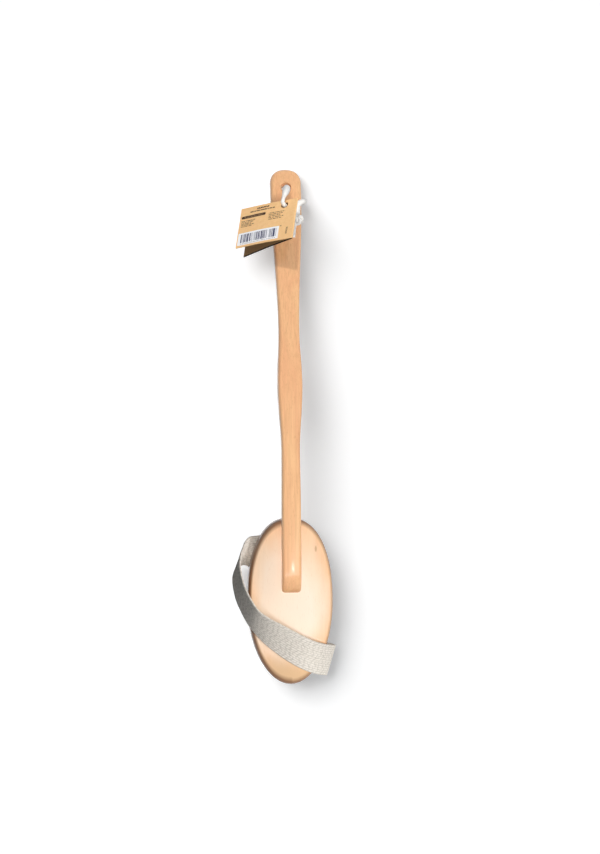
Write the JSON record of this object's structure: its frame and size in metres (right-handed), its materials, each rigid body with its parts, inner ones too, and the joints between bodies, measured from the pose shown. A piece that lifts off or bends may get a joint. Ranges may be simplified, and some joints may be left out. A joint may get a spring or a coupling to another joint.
{
  "type": "bath brush",
  "caption": "Oval bath brush with natural bristles, a webbing hand strap across its back, a bowed slide-out wooden handle, a cotton hanging loop and a folded card tag.",
  "frame": {"origin": "under the middle of the oval head, in the plane of the bristle tips", "axes": "+Y from the head towards the handle's tip, +Z from the bristle tips up through the head's back, +X to the right seen from above"},
  "size_m": [0.0843, 0.4178, 0.061],
  "materials": {
    "head_wood": "satin lacquer over pale hardwood",
    "bristle": "natural bristle, modelled as a stiff matte fibre",
    "handle_wood": "satin lacquer over pink-brown hardwood",
    "strap_webbing": "undyed twill-woven cotton webbing",
    "tack_steel": "plain zinc-plated steel",
    "cord_cotton": "soft twisted cotton",
    "tag_card": "uncoated brown card"
  },
  "bodies": {
    "head_body": {"head": "head_wood", "bristle_field": "bristle", "strap": "strap_webbing", "tack_left_far": "tack_steel", "tack_left_near": "tack_steel", "tack_right_far": "tack_steel", "tack_right_near": "tack_steel"},
    "handle_body": {"handle": "handle_wood", "hanging_cord": "cord_cotton", "cord_knot": "cord_cotton"},
    "tag_rear": {"tag_rear_leaf": "tag_card"},
    "tag_front": {"tag_front_leaf": "tag_card"}
  },
  "joints": [
    {"name": "handle_slide", "type": "slide", "parent": "head_body", "child": "handle_body", "axis": [0, 1, 0], "range_m": [0, 0.06]},
    {"name": "tag_swing", "type": "hinge", "parent": "handle_body", "child": "tag_rear", "pos_m": [-0.00148, 0.31753, 0.03472], "axis": [-0.6491, 0.4991, 0.5741], "range_deg": [0, 40]},
    {"name": "tag_fold", "type": "hinge", "parent": "tag_rear", "child": "tag_front", "pos_m": [0.0071, 0.3242, 0.03863], "axis": [0.1609, 0.8279, -0.5373], "range_deg": [-9, 14]}
  ]
}
